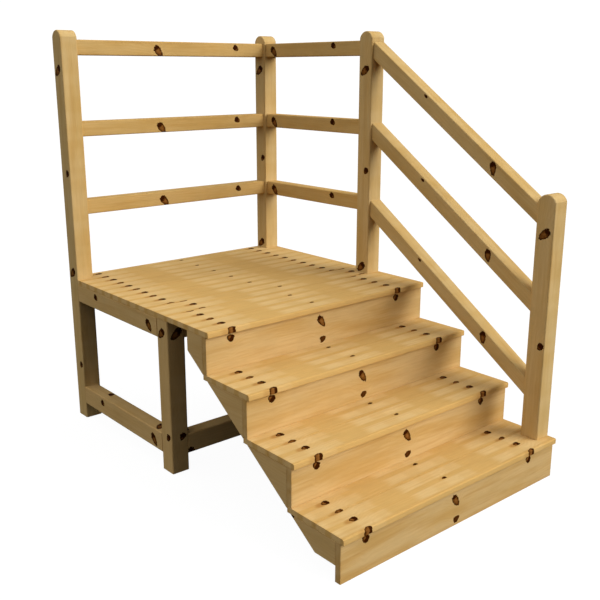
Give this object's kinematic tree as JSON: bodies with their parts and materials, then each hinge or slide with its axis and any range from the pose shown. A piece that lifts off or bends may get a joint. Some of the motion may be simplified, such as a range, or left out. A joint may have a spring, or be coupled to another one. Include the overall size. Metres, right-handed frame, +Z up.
{
  "type": "mounting block",
  "caption": "Timber mounting block: a short flight of steps up to a square platform with guard rails, a sloping handrail and an open side for mounting.",
  "frame": {"origin": "middle of the footprint, on the ground", "axes": "+Z up, +Y up the steps towards the back guard rail, +X towards the handrail side; the mounting side is -X"},
  "size_m": [1.0398, 1.6506, 1.5648],
  "materials": {
    "post_pine": "planed softwood, unpainted",
    "rail_pine": "planed softwood, unpainted",
    "board_pine": "planed softwood, unpainted",
    "riser_pine": "planed softwood, unpainted",
    "frame_pine": "planed softwood, unpainted",
    "zinc_steel": "zinc plated"
  },
  "bodies": {
    "root": {"apron_back": "frame_pine", "apron_front": "frame_pine", "apron_left": "frame_pine", "apron_right": "frame_pine", "back_rail_bottom": "rail_pine", "back_rail_middle": "rail_pine", "back_rail_top": "rail_pine", "bracket_left_1": "frame_pine", "bracket_left_2": "frame_pine", "bracket_left_3": "frame_pine", "bracket_left_4": "frame_pine", "bracket_right_1": "frame_pine", "bracket_right_2": "frame_pine", "bracket_right_3": "frame_pine", "bracket_right_4": "frame_pine", "carriage_centre": "frame_pine", "deck_board_1": "board_pine", "deck_board_2": "board_pine", "deck_board_3": "board_pine", "deck_board_4": "board_pine", "deck_board_5": "board_pine", "deck_board_6": "board_pine", "deck_board_7": "board_pine", "deck_board_8": "board_pine", "deck_joist": "frame_pine", "handrail_bottom": "rail_pine", "handrail_middle": "rail_pine", "handrail_top": "rail_pine", "leg_front_left": "post_pine", "link_bolt_centre": "zinc_steel", "link_bolt_left": "zinc_steel", "link_bolt_right": "zinc_steel", "link_left": "frame_pine", "link_right": "frame_pine", "newel_bolt": "zinc_steel", "newel_post": "post_pine", "post_back_left": "post_pine", "post_back_right": "post_pine", "post_front_right": "post_pine", "riser_1": "riser_pine", "riser_2": "riser_pine", "riser_3": "riser_pine", "riser_4": "riser_pine", "side_rail_bottom": "rail_pine", "side_rail_middle": "rail_pine", "side_rail_top": "rail_pine", "stretcher_front": "frame_pine", "stretcher_left": "frame_pine", "stretcher_right": "frame_pine", "tread_1_back": "board_pine", "tread_1_front": "board_pine", "tread_2_back": "board_pine", "tread_2_front": "board_pine", "tread_3_back": "board_pine", "tread_3_front": "board_pine"}
  },
  "joints": []
}
